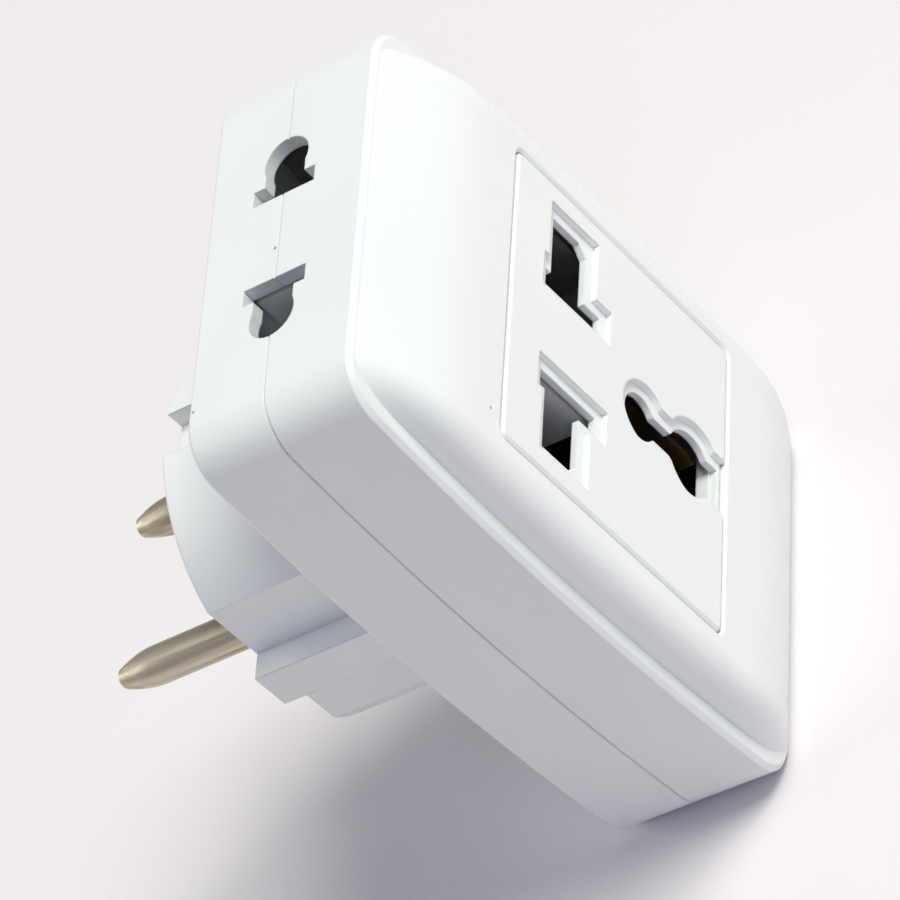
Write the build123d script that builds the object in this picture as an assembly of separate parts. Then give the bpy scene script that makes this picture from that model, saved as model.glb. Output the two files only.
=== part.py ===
"""Multi socket adapter: a moulded case with a round European plug on its back, a universal outlet on its
front and a two-pin outlet in each end.

Everything is drawn as seen from the front: x to the right, y up, and depth from the plug face towards the
viewer. The finished pieces are then stood upright, so that the front faces -Y and the plug points to +Y.
The origin is midway between the pins, on the plug face.
"""
import os
from math import sqrt

from build123d import *

# Plug pins
pin_spacing = 19.0
pin_diameter = 4.0
pin_length = 19.0
pin_tip_diameter = 2.2
pin_taper_length = 4.5
pin_tip_chamfer = 0.5
pin_shank_diameter = 2.8
pin_head_diameter = 3.6
pin_head_height = 0.9
pin_clearance = 0.05

# Plug boss, with a flat and a guide key on each side
boss_diameter = 37.0
boss_height = 18.0
boss_flat_depth = 2.7
boss_face_thickness = 3.0
boss_ring = 5.5
boss_chamfer = 0.4
key_width = 4.6
key_proud = 0.3
pin_post_diameter = 8.0

# Case
case_length = 69.2
case_end_width = 45.2
side_bow = 1.75
corner_r = 5.0
side_depth = 18.5
seam_height = 8.9
wall = 1.5
back_chamfer = 0.5
seam_groove_width = 0.16
seam_groove_depth = 0.15

# Crown of the front, raised inside a narrow ledge along each long side
ledge_width = 2.0
crown_height = 3.8
crown_end_margin = 0.7
crown_slope_length = 11.9
crown_edge_r = 3.0
rim_chamfer = 0.5

# Square plate let into the crown
plate_size = 34.6
plate_corner_r = 0.8
plate_thickness = 1.4
plate_gap = 0.2
plate_edge_chamfer = 0.3
plate_seat_width = 0.8
plate_seat_thickness = 1.5

# Power apertures: a blade slot on the inner side and a wider body for thick pins
slot_inner_x = 5.2
slot_width = 1.9
slot_length = 8.5
body_outer_x = 13.9
body_width = 5.3
body_rise = 2.45
body_chamfer = 1.2

# Earth aperture: a round lobe, a waist, a larger lobe and a square tail
small_lobe_diameter = 5.0
large_lobe_diameter = 7.0
lobe_spacing = 8.2
waist_width = 2.7
waist_blend_r = 0.5
tail_width = 4.4
tail_length = 4.4
tail_edge_margin = 0.6

# Stepped lead-in round each front aperture
lead_width = 1.1
lead_depth = 0.65

# End apertures, halved by the seam: a round hole whose neck opens into a slot
end_hole_diameter = 5.1
end_neck_width = 4.6
end_slot_inner_x = 5.1
end_slot_width = 1.85
end_slot_length = 7.05

# Strips and sprung forks
bus_thickness = 0.8
bus_width = 6.0
bus_bend_r = 1.0
bus_tab_gap = 0.35
bus_tab_height = 10.0
rest_height = 1.0
rest_length = 1.5
fork_thickness = 0.6
fork_bend_r = 0.8
fork_clearance = 0.2
fork_mouth_gap = 0.5
fork_head_gap = 0.15
fork_overhang = 1.0
fork_pinch = 1.6
earth_fork_width = 5.8
earth_fork_pinch = 0.9

# Earth strap, with one clip on each side of the plug
strap_thickness = 0.7
strap_width = 4.4
strap_clearance = 0.15
clip_side_gap = 0.4
clip_recess_depth = 2.3
clip_bulge = 1.0
clip_end_gap = 4.0

# Case screws
screw_end_gap = 7.6
screw_diameter = 2.6
screw_length = 9.0
screw_head_diameter = 5.0
screw_head_height = 1.7
screw_recess_diameter = 5.8
screw_recess_depth = 3.6
screw_boss_diameter = 8.4
screw_seat_thickness = 1.6
screw_post_diameter = 6.4
screw_tip_room = 2.0
screw_clearance = 0.05

# How far a cut or a trimmed block runs past the face it ends at
overrun = 3.0

# Depths from the plug face
case_back = boss_height
floor_top = case_back + wall
seam = case_back + seam_height
ledge = case_back + side_depth
crown_top = ledge + crown_height
plate_seat = crown_top - plate_thickness
roof = ledge - wall
bus_bottom = floor_top + rest_height
bus_top = bus_bottom + bus_thickness
screw_seat = case_back + screw_recess_depth
screw_boss_top = screw_seat + screw_seat_thickness

# Places across the front
half_length = case_length / 2
pin_x = pin_spacing / 2
screw_y = half_length - screw_end_gap
crown_end_width = case_end_width - 2 * ledge_width
crown_flat_length = case_length - 2 * (crown_end_margin + crown_slope_length)
fork_bottom_y = pin_head_diameter / 2 + fork_head_gap
slot_bottom_y = fork_bottom_y + fork_overhang
slot_center_y = slot_bottom_y + slot_length / 2
body_center_y = slot_bottom_y + body_rise + body_width / 2
tail_end_y = tail_edge_margin - plate_size / 2
large_lobe_y = tail_end_y + tail_length
small_lobe_y = large_lobe_y + lobe_spacing
earth_middle_y = (small_lobe_y + large_lobe_y) / 2
fork_inner_x = slot_inner_x - fork_clearance - fork_thickness / 2
fork_outer_x = body_outer_x + fork_clearance
fork_half_width = slot_length / 2 + fork_overhang
bus_tab_y = slot_center_y + fork_half_width + bus_tab_gap + bus_bend_r
clip_seat_y = boss_diameter / 2 - clip_recess_depth
clip_leg_y = clip_seat_y + strap_thickness / 2

ON_BASE = (Align.CENTER, Align.CENTER, Align.MIN)
SIDES = (-1, 1)


def at_depth(depth):
    return Pos(0, 0, depth)


def post(x, y, bottom, top, diameter):
    """A round post or hole along the plug axis."""
    return Pos(x, y, bottom) * Cylinder(diameter / 2, top - bottom, align=ON_BASE)


def strip(points, thickness, bend_r):
    """The section of a strip bent along a line of points."""
    return trace(FilletPolyline(*points, radius=bend_r), thickness)


def arc_drop(run, full_run, full_drop):
    """How far an arc has fallen at one run, when it falls by a known drop over a full run."""
    radius = (full_run**2 + full_drop**2) / (2 * full_drop)
    return radius - sqrt(radius**2 - run**2)


def bowed_outline(end_width, extra=0):
    """A rectangle whose long sides bow outwards, carried an extra length past the case ends."""
    reach = half_length + extra
    middle_x = end_width / 2 + side_bow
    end_x = middle_x - arc_drop(reach, half_length, side_bow)
    upper = TangentArc((middle_x, 0), (end_x, reach), tangent=(0, 1))
    half = upper + Line((end_x, reach), (-end_x, reach)) + mirror(upper, about=Plane.YZ)
    return make_face(half + mirror(half, about=Plane.XZ))


def case_outline():
    outline = bowed_outline(case_end_width)
    corners = outline.vertices().filter_by(lambda v: abs(v.Y) > half_length / 2)
    return fillet(corners, corner_r)


def seam_groove():
    """The fine shadow line where the two shells meet."""
    ring = case_outline() - offset(case_outline(), -seam_groove_depth)
    return extrude(at_depth(seam - seam_groove_width / 2) * ring, seam_groove_width)


def end_apertures():
    """Cutters for the two-pin outlet in each end wall."""
    hole = Circle(end_hole_diameter / 2)
    slot = Rectangle(end_slot_width, end_slot_length)
    slot_x = end_slot_inner_x + end_slot_width / 2
    neck = Rectangle(pin_x - slot_x, end_neck_width)
    neck_x = (pin_x + slot_x) / 2
    outline = Sketch()
    for side in SIDES:
        outline += Pos(side * pin_x, seam) * hole
        outline += Pos(side * neck_x, seam) * neck
        outline += Pos(side * slot_x, seam) * slot
    outside = Plane.XZ.offset(-half_length - overrun)
    upper = extrude(outside * outline, wall + 2 * overrun)
    return upper + mirror(upper, about=Plane.XZ)


def boss_outline():
    outline = Circle(boss_diameter / 2) & Rectangle(boss_diameter - 2 * boss_flat_depth, boss_diameter)
    outline += Rectangle(boss_diameter + 2 * key_proud, key_width)
    clip_recess_width = strap_width + 2 * clip_side_gap
    for side in SIDES:
        recess_y = side * (clip_seat_y + boss_diameter / 2)
        outline -= Pos(0, recess_y) * Rectangle(clip_recess_width, boss_diameter)
    return outline


def make_back_shell():
    tray = extrude(at_depth(case_back) * case_outline(), seam - case_back)
    tray = chamfer(tray.faces().sort_by(Axis.Z)[0].edges(), back_chamfer)
    tray -= extrude(at_depth(floor_top) * offset(case_outline(), -wall), seam - floor_top)

    boss = extrude(boss_outline(), case_back)
    boss = chamfer(boss.faces().sort_by(Axis.Z)[0].edges(), boss_chamfer)
    shell = tray + boss - post(0, 0, boss_face_thickness, floor_top, boss_diameter - 2 * boss_ring)

    bus_rest = Box(bus_width, rest_length, rest_height, align=ON_BASE)
    strap_rest = Box(strap_width, rest_length, rest_height, align=ON_BASE)
    slot_width_x = strap_width + 2 * strap_clearance
    slot_width_y = strap_thickness + 2 * strap_clearance
    leg_slot = Box(slot_width_x, slot_width_y, wall + 2 * overrun)
    for side in SIDES:
        # The post that holds a pin, and the rests under its strip
        shell += post(side * pin_x, 0, boss_face_thickness, bus_bottom, pin_post_diameter)
        shell -= post(side * pin_x, 0, 0, bus_bottom, pin_shank_diameter + 2 * pin_clearance)
        for end in SIDES:
            shell += Pos(side * pin_x, end * (bus_tab_y - bus_bend_r), floor_top) * bus_rest

        # The slot and the rest for a leg of the earth strap
        shell += Pos(0, side * (clip_seat_y - rest_length), floor_top) * strap_rest
        shell -= Pos(0, side * clip_leg_y, case_back) * leg_slot

        # The seat of a case screw, reached through a deep round recess
        shell += post(0, side * screw_y, floor_top, screw_boss_top, screw_boss_diameter)
        shell -= post(0, side * screw_y, case_back, screw_seat, screw_recess_diameter)
        shell -= post(0, side * screw_y, screw_seat, screw_boss_top, screw_diameter + 2 * screw_clearance)
    return shell - end_apertures() - seam_groove()


def crown_profile(extra):
    """The crown seen from the side: a flat top and two slopes, carried an extra length past its ends."""
    half_flat = crown_flat_length / 2
    slope_run = half_length - crown_end_margin - half_flat
    end_y = half_flat + slope_run + extra
    end_depth = crown_top - arc_drop(slope_run + extra, slope_run, crown_height)
    upper_slope = TangentArc((half_flat, crown_top), (end_y, end_depth), tangent=(1, 0))
    upper = upper_slope + Line((end_y, end_depth), (end_y, seam))
    top = Line((half_flat, crown_top), (-half_flat, crown_top))
    bottom = Line((end_y, seam), (-end_y, seam))
    return make_face(upper + mirror(upper, about=Plane.YZ) + top + bottom)


def make_crown():
    """The raised loaf, with its long upper edges rounded along the bowed sides and down both slopes."""
    block = extrude(at_depth(seam) * bowed_outline(crown_end_width, overrun), crown_top - seam)
    block &= extrude(Plane.YZ * crown_profile(overrun), case_end_width, both=True)
    long_edges = block.edges().filter_by(
        lambda e: abs(e.center().X) > crown_end_width / 4 and e.center().Z > roof
    )
    block = fillet(long_edges, crown_edge_r)
    above_ledge = at_depth(ledge) * Box(2 * case_end_width, 2 * case_length, crown_height, align=ON_BASE)
    return block & above_ledge


def plate_square(margin=0):
    """The plate's outline, or the outline a margin outside it."""
    size = plate_size + 2 * margin
    return RectangleRounded(size, size, plate_corner_r + margin)


def make_front_shell():
    skirt = extrude(at_depth(seam) * case_outline(), ledge - seam)
    skirt = chamfer(skirt.faces().sort_by(Axis.Z)[-1].edges(), rim_chamfer)
    shell = skirt + make_crown()
    shell -= extrude(at_depth(seam) * offset(case_outline(), -wall), roof - seam)

    # Window with a rebate that the plate drops into, its mouth flared like the plate's own edge
    window_size = plate_size - 2 * plate_seat_width
    flare = plate_square(plate_gap + plate_edge_chamfer)
    mouth = extrude(at_depth(crown_top - plate_edge_chamfer) * flare, overrun)
    shell -= chamfer(mouth.faces().sort_by(Axis.Z)[0].edges(), plate_edge_chamfer)
    shell -= extrude(at_depth(plate_seat) * plate_square(plate_gap), plate_thickness)
    shell -= extrude(at_depth(roof) * Rectangle(window_size, window_size), plate_seat - roof)
    hollow = Rectangle(crown_end_width - 2 * wall, crown_flat_length)
    shell -= extrude(at_depth(roof) * hollow, plate_seat - plate_seat_thickness - roof)

    for side in SIDES:
        shell += post(0, side * screw_y, screw_boss_top, roof, screw_post_diameter)
        hole_top = screw_seat + screw_length + screw_tip_room
        shell -= post(0, side * screw_y, screw_boss_top, hole_top, screw_diameter + 2 * screw_clearance)
    return shell - end_apertures() - seam_groove()


def power_aperture(side, margin=0):
    """A power aperture, or the plain outline a margin outside it."""
    slot_x = slot_inner_x + slot_width / 2
    slot = Pos(side * slot_x, slot_center_y) * Rectangle(slot_width + 2 * margin, slot_length + 2 * margin)
    body_length = body_outer_x - slot_inner_x
    body_x = slot_inner_x + body_length / 2
    body = Pos(side * body_x, body_center_y) * Rectangle(body_length + 2 * margin, body_width + 2 * margin)
    if not margin:
        lower_corners = body.vertices().sort_by(Axis.Y)[:2]
        outer_corner = lower_corners.sort_by(Axis.X)[0 if side < 0 else 1]
        body = chamfer(outer_corner, body_chamfer)
    return slot + body


def earth_aperture(margin=0):
    """The earth aperture, or the outline a margin outside it."""
    lobes = Pos(0, small_lobe_y) * Circle(small_lobe_diameter / 2 + margin)
    lobes += Pos(0, large_lobe_y) * Circle(large_lobe_diameter / 2 + margin)
    lobes += Pos(0, earth_middle_y) * Rectangle(waist_width + 2 * margin, small_lobe_y - large_lobe_y)
    inner_corners = lobes.vertices().filter_by(lambda v: large_lobe_y < v.Y < small_lobe_y)
    lobes = fillet(inner_corners, waist_blend_r)
    tail_end = tail_end_y - margin
    tail = Rectangle(tail_width + 2 * margin, large_lobe_y - tail_end)
    return lobes + Pos(0, (large_lobe_y + tail_end) / 2) * tail


def make_face_plate():
    plate = extrude(at_depth(plate_seat) * plate_square(), plate_thickness)
    plate = chamfer(plate.faces().sort_by(Axis.Z)[-1].edges(), plate_edge_chamfer)
    apertures = earth_aperture()
    leads = earth_aperture(lead_width)
    for side in SIDES:
        apertures += power_aperture(side)
        leads += power_aperture(side, lead_width)
    plate -= extrude(at_depth(plate_seat) * apertures, plate_thickness)
    return plate - extrude(at_depth(crown_top - lead_depth) * leads, lead_depth)


def make_pin(side):
    """A turned pin: tapered tip, body shouldered on the plug face, and a shank headed over the strip."""
    body_r = pin_diameter / 2
    tip_r = pin_tip_diameter / 2
    section = make_face(
        Polyline(
            (0, -pin_length),
            (tip_r, -pin_length),
            (body_r, pin_taper_length - pin_length),
            (body_r, 0),
            (pin_shank_diameter / 2, 0),
            (pin_shank_diameter / 2, bus_top),
            (pin_head_diameter / 2, bus_top),
            (pin_head_diameter / 2, bus_top + pin_head_height),
            (0, bus_top + pin_head_height),
            close=True,
        )
    )
    tip_corner = section.vertices().filter_by(lambda v: v.X > 0).sort_by(Axis.Y)[0]
    section = chamfer(tip_corner, pin_tip_chamfer)
    return Pos(side * pin_x, 0, 0) * revolve(Plane.XZ * section, Axis.Z)


def make_bus(side):
    """A strip that joins one pin to its three forks, with a tab turned up at each end."""
    middle = bus_bottom + bus_thickness / 2
    tab_top = bus_top + bus_tab_height
    tab_y = bus_tab_y
    section = strip(
        [(-tab_y, tab_top), (-tab_y, middle), (tab_y, middle), (tab_y, tab_top)], bus_thickness, bus_bend_r
    )
    bus = Pos(side * pin_x, 0, 0) * extrude(Plane.YZ * section, bus_width / 2, both=True)
    return bus - post(side * pin_x, 0, bus_bottom, bus_top, pin_shank_diameter + 2 * pin_clearance)


def power_fork_section(base, mouth):
    """A straight inner leaf, a base, and an outer leaf pinched in at half its height."""
    return strip(
        [
            (fork_inner_x, mouth),
            (fork_inner_x, base),
            (fork_outer_x, base),
            (fork_outer_x - fork_pinch, (base + mouth) / 2),
            (fork_outer_x, mouth),
        ],
        fork_thickness,
        fork_bend_r,
    )


def make_front_fork(side):
    """A fork welded upright on its strip, behind one power aperture."""
    section = power_fork_section(bus_top + fork_thickness / 2, plate_seat - fork_mouth_gap)
    middle = Plane.XZ.offset(-slot_center_y)
    fork = extrude(middle * section, fork_half_width, both=True)
    return fork if side > 0 else mirror(fork, about=Plane.YZ)


def make_end_fork(side, end):
    """A fork welded to a tab of its strip, behind one end aperture."""
    base = bus_tab_y + (bus_thickness + fork_thickness) / 2
    section = power_fork_section(base, half_length - wall - fork_mouth_gap)
    fork = extrude(at_depth(seam) * section, end_slot_length / 2, both=True)
    fork = fork if side > 0 else mirror(fork, about=Plane.YZ)
    return fork if end > 0 else mirror(fork, about=Plane.XZ)


def make_earth_fork():
    """Two pinched leaves welded upright on the earth strap, along the earth aperture."""
    base = bus_top + fork_thickness / 2
    mouth = plate_seat - fork_mouth_gap
    leaf_x = (earth_fork_width - fork_thickness) / 2
    pinch_depth = (base + mouth) / 2
    right_leaf = [(leaf_x, base), (leaf_x - earth_fork_pinch, pinch_depth), (leaf_x, mouth)]
    left_leaf = [(-x, depth) for x, depth in reversed(right_leaf)]
    section = strip(left_leaf + right_leaf, fork_thickness, fork_bend_r)
    middle = Plane.XZ.offset(-earth_middle_y)
    length = small_lobe_y - large_lobe_y + small_lobe_diameter
    return extrude(middle * section, length / 2, both=True)


def make_earth_strap():
    """A strip across the case whose two legs run down the plug as sprung clips."""
    middle = bus_top - strap_thickness / 2
    bulge_depth = case_back / 2
    legs = [
        (clip_leg_y, clip_end_gap),
        (clip_leg_y + clip_bulge, bulge_depth),
        (clip_leg_y, case_back - strap_thickness),
        (clip_leg_y, middle),
    ]
    other = [(-y, depth) for y, depth in reversed(legs)]
    section = strip(legs + other, strap_thickness, bus_bend_r)
    return extrude(Plane.YZ * section, strap_width / 2, both=True)


def make_screws():
    """Pan-head screws, entered from the back."""
    head_bottom = screw_seat - screw_head_height
    screws = []
    for side in SIDES:
        head = post(0, side * screw_y, head_bottom, screw_seat, screw_head_diameter)
        shank = post(0, side * screw_y, screw_seat, screw_seat + screw_length, screw_diameter)
        screws.append(head + shank)
    return Part() + screws


pieces = {
    "back_shell": make_back_shell(),
    "front_shell": make_front_shell(),
    "face_plate": make_face_plate(),
    "plug_pin_left": make_pin(-1),
    "plug_pin_right": make_pin(1),
    "live_bus": make_bus(1),
    "neutral_bus": make_bus(-1),
    "earth_strap": make_earth_strap(),
    "live_front_contact": make_front_fork(1),
    "neutral_front_contact": make_front_fork(-1),
    "earth_front_contact": make_earth_fork(),
    "live_top_contact": make_end_fork(1, 1),
    "neutral_top_contact": make_end_fork(-1, 1),
    "live_bottom_contact": make_end_fork(1, -1),
    "neutral_bottom_contact": make_end_fork(-1, -1),
    "case_screws": make_screws(),
}

os.makedirs("parts", exist_ok=True)
for name, piece in pieces.items():
    export_step(Plane.XZ * piece, f"parts/{name}.step")
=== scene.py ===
import bmesh
import bpy
import numpy as np
from mathutils import Matrix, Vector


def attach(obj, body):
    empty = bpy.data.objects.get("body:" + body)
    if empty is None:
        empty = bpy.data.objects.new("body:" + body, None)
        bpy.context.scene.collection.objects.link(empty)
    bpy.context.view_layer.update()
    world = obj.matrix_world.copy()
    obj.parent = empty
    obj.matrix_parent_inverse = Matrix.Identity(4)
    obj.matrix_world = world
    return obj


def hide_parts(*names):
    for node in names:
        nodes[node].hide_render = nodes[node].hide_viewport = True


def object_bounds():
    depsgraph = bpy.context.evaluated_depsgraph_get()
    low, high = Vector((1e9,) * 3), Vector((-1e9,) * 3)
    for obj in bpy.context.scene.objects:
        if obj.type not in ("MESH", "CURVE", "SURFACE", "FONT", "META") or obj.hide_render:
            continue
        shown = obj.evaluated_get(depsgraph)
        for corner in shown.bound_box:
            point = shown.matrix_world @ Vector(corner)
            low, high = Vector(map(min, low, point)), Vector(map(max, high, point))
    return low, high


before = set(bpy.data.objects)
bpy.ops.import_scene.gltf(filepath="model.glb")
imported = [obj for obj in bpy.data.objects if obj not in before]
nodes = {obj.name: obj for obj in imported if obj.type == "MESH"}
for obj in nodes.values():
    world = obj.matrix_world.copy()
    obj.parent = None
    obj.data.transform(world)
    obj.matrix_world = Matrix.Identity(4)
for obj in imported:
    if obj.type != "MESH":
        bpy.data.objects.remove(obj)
cad_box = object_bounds()

# The back shell: a tray of white ABS, injection-moulded in one shot with the round plug body on its back.
# The tool is lightly etched, so the gloss is soft and breaks up over a very fine grain, and no edge is
# sharper than a quarter of a millimetre.


def linear(hex_colour):
    """An sRGB hex colour as linear RGBA: each channel is undone by the sRGB curve."""
    channels = np.array([int(hex_colour[i : i + 2], 16) for i in (1, 3, 5)]) / 255
    low = channels / 12.92
    high = ((channels + 0.055) / 1.055) ** 2.4
    return (*np.where(channels <= 0.04045, low, high), 1.0)


def add(material, kind, settings=None, inputs=None):
    """One node of a material, with its settings, and each input given as a value or as a socket to link."""
    node = material.node_tree.nodes.new(kind)
    for name, value in (settings or {}).items():
        setattr(node, name, value)
    for name, value in (inputs or {}).items():
        if isinstance(value, bpy.types.NodeSocket):
            material.node_tree.links.new(value, node.inputs[name])
        else:
            node.inputs[name].default_value = value
    return node


def started(name):
    """A new material, and the place on the piece in metres, which its patterns follow."""
    material = bpy.data.materials.new(name)
    material.use_nodes = True
    return material, add(material, "ShaderNodeTexCoord").outputs["Object"]


def shaded(material, colour, roughness, normal):
    """The material's shader, with its colour, roughness and normal linked to the patterns."""
    shader = material.node_tree.nodes["Principled BSDF"]
    for name, pattern in (("Base Color", colour), ("Roughness", roughness), ("Normal", normal)):
        material.node_tree.links.new(pattern, shader.inputs[name])
    return shader


def white_abs(name, specks=()):
    """Etched white ABS: a cool white that varies by a hair, a satin gloss, and edges softened by the tool.

    The etched grain is really about 0.05 mm and is drawn at 0.2 mm, so that it shows at all. Each speck is a
    grain of dust at a place in millimetres, with its radius, and fades out over its rim.
    """
    flow_size, grain_size, grain_depth, edge_radius = 0.015, 0.0002, 0.00004, 0.00025
    material, place = started(name)
    flow = add(
        material,
        "ShaderNodeTexNoise",
        inputs={"Vector": place, "Scale": 1 / flow_size, "Detail": 3.0, "Roughness": 0.5},
    ).outputs["Fac"]
    colour = add(
        material,
        "ShaderNodeMix",
        {"data_type": "RGBA"},
        {"Factor": flow, "A": linear("#e9edf0"), "B": linear("#f0f3f5")},
    ).outputs["Result"]
    for x, y, z, radius in specks:
        centre = (x / 1000, y / 1000, z / 1000)
        away = add(material, "ShaderNodeVectorMath", {"operation": "DISTANCE"}, {0: place, 1: centre})
        dust = add(
            material,
            "ShaderNodeMapRange",
            inputs={
                "Value": away.outputs["Value"],
                "From Min": 0.6 * radius / 1000,
                "From Max": 1.4 * radius / 1000,
                "To Min": 0.75,
                "To Max": 0.0,
            },
        ).outputs["Result"]
        colour = add(
            material,
            "ShaderNodeMix",
            {"data_type": "RGBA"},
            {"Factor": dust, "A": colour, "B": linear("#4a4a48")},
        ).outputs["Result"]
    gloss = add(
        material,
        "ShaderNodeMapRange",
        inputs={"Value": flow, "To Min": 0.32, "To Max": 0.44},
    ).outputs["Result"]
    grain = add(
        material,
        "ShaderNodeTexNoise",
        inputs={"Vector": place, "Scale": 1 / grain_size, "Detail": 2.0, "Roughness": 0.6},
    ).outputs["Fac"]
    moulded_edge = add(material, "ShaderNodeBevel", {"samples": 6}, {"Radius": edge_radius}).outputs["Normal"]
    etched = add(
        material,
        "ShaderNodeBump",
        inputs={"Height": grain, "Strength": 0.10, "Distance": grain_depth, "Normal": moulded_edge},
    ).outputs["Normal"]
    shaded(material, colour, gloss, etched).inputs["IOR"].default_value = 1.53
    return material


def finish(node_name, material):
    """The node keeps its shape and takes the material."""
    for slot in nodes[node_name].material_slots:
        slot.material = material


back_dust = ((-1.4, -26.6, 34.6, 0.16), (-17.2, -18.8, 34.6, 0.14))
finish("back_shell", white_abs("etched_white_abs_back", back_dust))

# The plug pins: turned from drawn nickel brass and left bright, a dull tan that has picked up lengthwise
# scratches from being pushed into outlets. The body shoulders on the plug face, and the narrower shank
# behind it is headed over the strip inside.


def turned(profile, centre, turns):
    """Points of a turned piece: each profile point (radius, height along Y) swept round a full circle."""
    radius, along = np.asarray(profile, dtype=float).T
    angle = np.linspace(0, 2 * np.pi, turns, endpoint=False)
    x = centre[0] + radius[:, None] * np.cos(angle)
    z = centre[1] + radius[:, None] * np.sin(angle)
    y = np.broadcast_to(along[:, None], x.shape)
    return np.stack([x, y, z], axis=-1)


def wrapped_mesh(name, grids):
    """One mesh from grids of points in millimetres, closed round the second parameter and at the poles."""
    points, quads, count = [], [], 0
    for grid in grids:
        rows, turns = grid.shape[:2]
        index = count + np.arange(rows * turns).reshape(rows, turns)
        ahead = np.roll(index, -1, axis=1)
        quads.append(np.stack([index[:-1], ahead[:-1], ahead[1:], index[1:]], axis=-1).reshape(-1, 4))
        points.append(grid.reshape(-1, 3) / 1000)
        count += rows * turns
    mesh = bpy.data.meshes.new(name)
    mesh.from_pydata(np.concatenate(points).tolist(), [], np.concatenate(quads).tolist())
    work = bmesh.new()
    work.from_mesh(mesh)
    bmesh.ops.remove_doubles(work, verts=work.verts, dist=1e-7)
    bmesh.ops.recalc_face_normals(work, faces=work.faces)
    work.to_mesh(mesh)
    work.free()
    mesh.shade_smooth()
    mesh.set_sharp_from_angle(angle=np.radians(30))
    piece = bpy.data.objects.new(name, mesh)
    bpy.context.scene.collection.objects.link(piece)
    return piece


def pin_profile():
    """The pin from nose to head: a quarter-ellipse nose, a taper, the body, its shoulder, shank and head.

    The taper's radius falls off as the square of the distance past the end of the plain body.
    """
    body_r, shoulder_break = 2.0, 0.05
    taper_start, taper_length, taper_fall = 14.0, 4.1, 0.046
    nose_r, nose_start, nose_length = 1.15, 18.3, 0.69
    shank_r, head_r, head_start, head_end = 1.4, 1.8, -21.3, -22.2

    turn = np.linspace(0, np.pi / 2, 10)
    nose = np.stack([nose_r * np.sin(turn), nose_start + nose_length * np.cos(turn)], axis=-1)
    past = np.linspace(taper_length, 0, 10)
    taper = np.stack([body_r - taper_fall * past**2, taper_start + past], axis=-1)
    body = [(body_r, height) for height in (12.0, 8.0, 4.0, shoulder_break)]
    shank = [(body_r - shoulder_break, 0.0), (shank_r, 0.0), (shank_r, head_start), (head_r, head_start)]
    head = [(head_r, head_end + 0.3), (head_r - 0.2, head_end + 0.05), (head_r - 0.6, head_end)]
    return np.concatenate([nose, taper, body, shank, head, [(0.0, head_end)]])


def drawn_nickel_brass():
    """Drawn nickel brass: a dull tan metal, streaked along the pin by the die and by use.

    The streaks are bands about 0.8 mm wide round the pin, thirty times as long, with finer ones inside them.
    """
    streak_width, streak_depth, along_pin = 0.0008, 0.0001, (1.0, 0.03, 1.0)
    material, place = started("drawn_nickel_brass")
    lengthwise = add(material, "ShaderNodeMapping", inputs={"Vector": place, "Scale": along_pin})
    streaks = add(
        material,
        "ShaderNodeTexNoise",
        inputs={
            "Vector": lengthwise.outputs["Vector"],
            "Scale": 1 / streak_width,
            "Detail": 5.0,
            "Roughness": 0.6,
        },
    ).outputs["Fac"]
    drawn = add(
        material,
        "ShaderNodeMapRange",
        inputs={"Value": streaks, "From Min": 0.36, "From Max": 0.62},
    ).outputs["Result"]
    tan = add(
        material,
        "ShaderNodeMix",
        {"data_type": "RGBA"},
        {"Factor": drawn, "A": linear("#bdae93"), "B": linear("#e2d8c5")},
    ).outputs["Result"]
    rough = add(
        material,
        "ShaderNodeMapRange",
        inputs={"Value": drawn, "To Min": 0.64, "To Max": 0.5},
    ).outputs["Result"]
    cut = add(
        material,
        "ShaderNodeBump",
        inputs={"Height": streaks, "Strength": 0.3, "Distance": streak_depth},
    ).outputs["Normal"]
    shaded(material, tan, rough, cut).inputs["Metallic"].default_value = 1.0
    return material


pin_spacing = 19.0
pin_metal = drawn_nickel_brass()
for pin_name, pin_x in (("plug_pin_left", -pin_spacing / 2), ("plug_pin_right", pin_spacing / 2)):
    pin = wrapped_mesh(pin_name + "_turned", [turned(pin_profile(), (pin_x, 0.0), 96)])
    pin.data.materials.append(pin_metal)
    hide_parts(pin_name)
    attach(pin, "root")

# The live and neutral metalwork: a strip over each pin and three folded forks spot-welded to it, all pressed
# from phosphor bronze and tinned. The forks' inner leaves carry painted light, a near white that stands in
# for the light reaching them through the apertures, and the rest is dark grey.


def pressed_metal(name, dark, light, roughness, metallic=1.0):
    """Rolled sheet metal: one tone clouded into another over about 3 mm, with rolling lines 0.4 mm apart."""
    cloud_size, line_gap, line_depth, along_roll = 0.003, 0.0004, 0.00003, (1.0, 1.0, 0.05)
    material, place = started(name)
    clouds = add(
        material,
        "ShaderNodeTexNoise",
        inputs={"Vector": place, "Scale": 1 / cloud_size, "Detail": 4.0, "Roughness": 0.6},
    ).outputs["Fac"]
    tone = add(
        material,
        "ShaderNodeMix",
        {"data_type": "RGBA"},
        {"Factor": clouds, "A": linear(dark), "B": linear(light)},
    ).outputs["Result"]
    rolled = add(material, "ShaderNodeMapping", inputs={"Vector": place, "Scale": along_roll})
    lines = add(
        material,
        "ShaderNodeTexNoise",
        inputs={"Vector": rolled.outputs["Vector"], "Scale": 1 / line_gap, "Detail": 2.0, "Roughness": 0.6},
    ).outputs["Fac"]
    rough = add(
        material,
        "ShaderNodeMapRange",
        inputs={"Value": lines, "To Min": roughness - 0.08, "To Max": roughness + 0.08},
    ).outputs["Result"]
    ridges = add(
        material,
        "ShaderNodeBump",
        inputs={"Height": lines, "Strength": 0.2, "Distance": line_depth},
    ).outputs["Normal"]
    shaded(material, tone, rough, ridges).inputs["Metallic"].default_value = metallic
    return material


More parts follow.
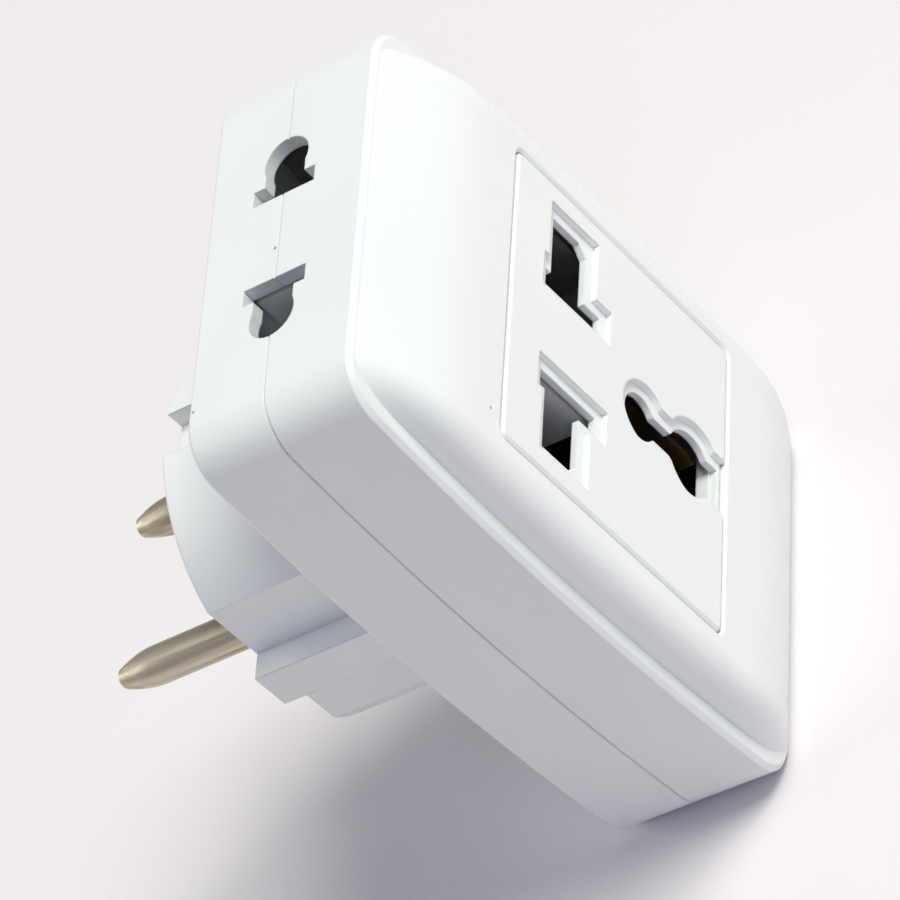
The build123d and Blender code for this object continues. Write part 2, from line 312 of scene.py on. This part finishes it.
def tinned_bronze_painted_light():
    """Tinned sheet in dark grey, a far duller mirror than clean metal, with painted light on the inner
    leaves.

    Their near white stands in for the light that reaches them through the apertures. The painted light fades
    out from 6 mm to 9 mm off the middle of the case, where the inner leaves stand.
    """
    painted_light_within, painted_light_gone_beyond = 0.006, 0.009
    material = pressed_metal("tinned_phosphor_bronze_painted_light", "#3c3e40", "#56585a", 0.55, metallic=0.2)
    base_colour = material.node_tree.nodes["Principled BSDF"].inputs["Base Color"]
    dull = base_colour.links[0].from_socket
    place = add(material, "ShaderNodeTexCoord").outputs["Object"]
    across = add(material, "ShaderNodeSeparateXYZ", inputs={"Vector": place}).outputs["X"]
    off_middle = add(material, "ShaderNodeMath", {"operation": "ABSOLUTE"}, {0: across}).outputs["Value"]
    painted_light_fade = add(
        material,
        "ShaderNodeMapRange",
        inputs={"Value": off_middle, "From Min": painted_light_within, "From Max": painted_light_gone_beyond},
    ).outputs["Result"]
    # Painted light: the inner leaves near the middle take a near white for the light reaching them through
    # the apertures.
    colour = add(
        material,
        "ShaderNodeMix",
        {"data_type": "RGBA"},
        {"Factor": painted_light_fade, "A": linear("#f0f2f0"), "B": dull},
    ).outputs["Result"]
    material.node_tree.links.new(colour, base_colour)
    return material


contact_metal = tinned_bronze_painted_light()
for pole in ("live", "neutral"):
    for part in ("bus", "front_contact", "top_contact", "bottom_contact"):
        finish(f"{pole}_{part}", contact_metal)

# The earth metalwork: one brass strap across the case, with a leg down each side of the plug, and a two-leaf
# fork welded on it. The outlet's springs keep the strap's legs bright. The fork inside is coloured a
# near-black
# brown: painted shade, standing in for the dark inside the earth hole.
finish("earth_strap", pressed_metal("rolled_brass", "#9a8250", "#c1a76f", 0.42))
finish("earth_front_contact", pressed_metal("brass_painted_shade", "#2e2110", "#5e4620", 0.48))

# The front shell: the deep upper half of the case, moulded in the same white ABS as the back. Its crowned
# front rises inside a narrow ledge, and a square window in the crown takes the face plate.
front_dust = ((-15.7, -40.3, 19.2, 0.15),)
finish("front_shell", white_abs("etched_white_abs_front", front_dust))

# The face plate: a thin square of the same white ABS, let into a rebate in the crown with a fine gap round
# it. Its apertures have a stepped lead-in, so that blades of many standards find their way.
finish("face_plate", white_abs("etched_white_abs_plate"))

# The case screws: two zinc-plated self-tapping screws at the bottom of deep recesses in the back. The pan
# head has a cross recess, and the shank is rolled with a coarse thread that bites into the front shell.


def screw_grid(centre_z):
    """A screw swept round its axis: a domed head, a neck and a threaded shank that ends in a point.

    The head sinks by the depth of a cross wherever a point lies within an arm of it. The shank's radius
    rises and falls as a triangle wave of height less one turn of angle per pitch, which winds a helix.
    """
    head_r, head_height, seat, shank_r, shank_length = 2.5, 1.7, -21.6, 1.3, 9.0
    dome_share, rim_height, rim_break = 0.38, 0.5, 0.08
    arm_half_width, arm_reach, arm_depth, arm_rise = 0.36, 1.45, 1.0, 0.4
    flank_width, end_width = 0.08, 0.25
    pitch, thread_depth, point_length = 1.1, 0.28, 1.6

    across = np.linspace(0, 1, 60)
    top = np.stack([head_r * across, seat + head_height * (1 - dome_share * across**3)], axis=-1)
    rim = np.array(
        [
            (head_r, seat + rim_height),
            (head_r, seat + rim_break),
            (head_r - rim_break, seat),
            (shank_r, seat),
        ]
    )
    down = np.linspace(0, 1, 150)
    taper = np.clip((1 - down) * shank_length / point_length, 0, 1)
    shank = np.stack([shank_r * taper, seat - shank_length * down], axis=-1)
    profile = np.concatenate([top, rim, shank])

    grid = turned(profile, (0.0, 0.0), 120)
    x, z = grid[..., 0], grid[..., 2]
    narrow, wide = np.minimum(abs(x), abs(z)), np.maximum(abs(x), abs(z))
    within_width = np.clip((arm_half_width - narrow) / flank_width, 0, 1)
    within_reach = np.clip((arm_reach - wide) / end_width, 0, 1)
    on_top = (np.arange(len(profile)) < len(top))[:, None]
    grid[..., 1] -= on_top * within_width * within_reach * arm_depth * (1 - arm_rise * wide / arm_reach)

    angle = np.linspace(0, 1, grid.shape[1], endpoint=False)
    wave = abs(2 * ((grid[..., 1] / pitch - angle) % 1) - 1)
    on_shank = (np.arange(len(profile)) >= len(profile) - len(shank))[:, None]
    shrink = 1 - on_shank * wave * thread_depth / shank_r
    grid[..., 0] *= shrink
    grid[..., 2] *= shrink
    grid[..., 2] += centre_z
    return grid


screw_offset = 27.0
screws = wrapped_mesh("cross_head_screws", [screw_grid(-screw_offset), screw_grid(screw_offset)])
screws.data.materials.append(pressed_metal("zinc_plated_steel", "#9c9fa3", "#c4c6c8", 0.34))
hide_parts("case_screws")
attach(screws, "root")

# The floor: a sheet of plain pale paper under the lower end of the case.
floor_mesh = bpy.data.meshes.new("floor")
floor_z = cad_box[0][2]
reach = 3.0
corners = [(x * reach, y * reach, floor_z) for x, y in ((-1, -1), (1, -1), (1, 1), (-1, 1))]
floor_mesh.from_pydata(corners, [], [(0, 1, 2, 3)])
floor = bpy.data.objects.new("floor", floor_mesh)
bpy.context.scene.collection.objects.link(floor)
paper = bpy.data.materials.new("pale_paper")
paper.use_nodes = True
paper.node_tree.nodes["Principled BSDF"].inputs["Base Color"].default_value = linear("#ebe6eb")
paper.node_tree.nodes["Principled BSDF"].inputs["Roughness"].default_value = 0.9
floor_mesh.materials.append(paper)

# The light: a large soft panel over the front and the upper end, weaker ones near the camera and behind,
# and a pale surround.
world = bpy.data.worlds.new("studio")
world.use_nodes = True
world.node_tree.nodes["Background"].inputs["Color"].default_value = linear("#e4e9ff")
world.node_tree.nodes["Background"].inputs["Strength"].default_value = 0.11
bpy.context.scene.world = world


def facing(place, aim):
    """The placing of something that stands at one point, in metres, and looks at another, its top upwards."""
    back = np.subtract(place, aim) / np.linalg.norm(np.subtract(place, aim))
    side = np.cross((0.0, 0.0, 1.0), back)
    side = side / np.linalg.norm(side)
    placing = np.eye(4)
    placing[:3] = np.stack([side, np.cross(back, side), back, place], axis=1)
    return Matrix(placing.tolist())


def panel(name, place, size, power, tint):
    """A square area light at a place in metres, turned to face the middle of the case."""
    lamp = bpy.data.lights.new(name, "AREA")
    lamp.size = size
    lamp.energy = power
    lamp.color = linear(tint)[:3]
    light = bpy.data.objects.new(name, lamp)
    light.matrix_world = facing(place, (0.0, -0.02, 0.0))
    bpy.context.scene.collection.objects.link(light)


panel("key", (0.55, -1.28, 2.07), 1.3, 64, "#fefff2")
panel("fill", (-0.25, 1.55, 1.2), 1.2, 7, "#ffffff")
panel("near_fill", (-1.4, -1.07, 1.32), 1.0, 6.2, "#e3e6ff")
panel("back_fill", (0.4, 2.2, 0.4), 1.2, 14, "#ffffff")

# The camera stands where the photograph's did: above, in front and to the left of the case, and rolled by
# about half a right angle. The azimuth is counted from the front towards the left.
camera_aim = np.array((0.00463, -0.01827, -0.00252))
camera_distance = 0.48
azimuth, elevation, roll = np.radians((52.74, 36.62, -48.02))
level = np.array((-np.sin(azimuth), -np.cos(azimuth), 0.0))
towards_camera = np.cos(elevation) * level + np.array((0.0, 0.0, np.sin(elevation)))
camera_data = bpy.data.cameras.new("camera")
camera_data.sensor_width = 36.0
camera_data.lens = 199.46
camera = bpy.data.objects.new("camera", camera_data)
camera_place = camera_aim + camera_distance * towards_camera
camera.matrix_world = facing(camera_place, camera_aim) @ Matrix.Rotation(roll, 4, "Z")
bpy.context.scene.collection.objects.link(camera)
bpy.context.scene.camera = camera
bpy.context.scene.view_settings.view_transform = "Standard"
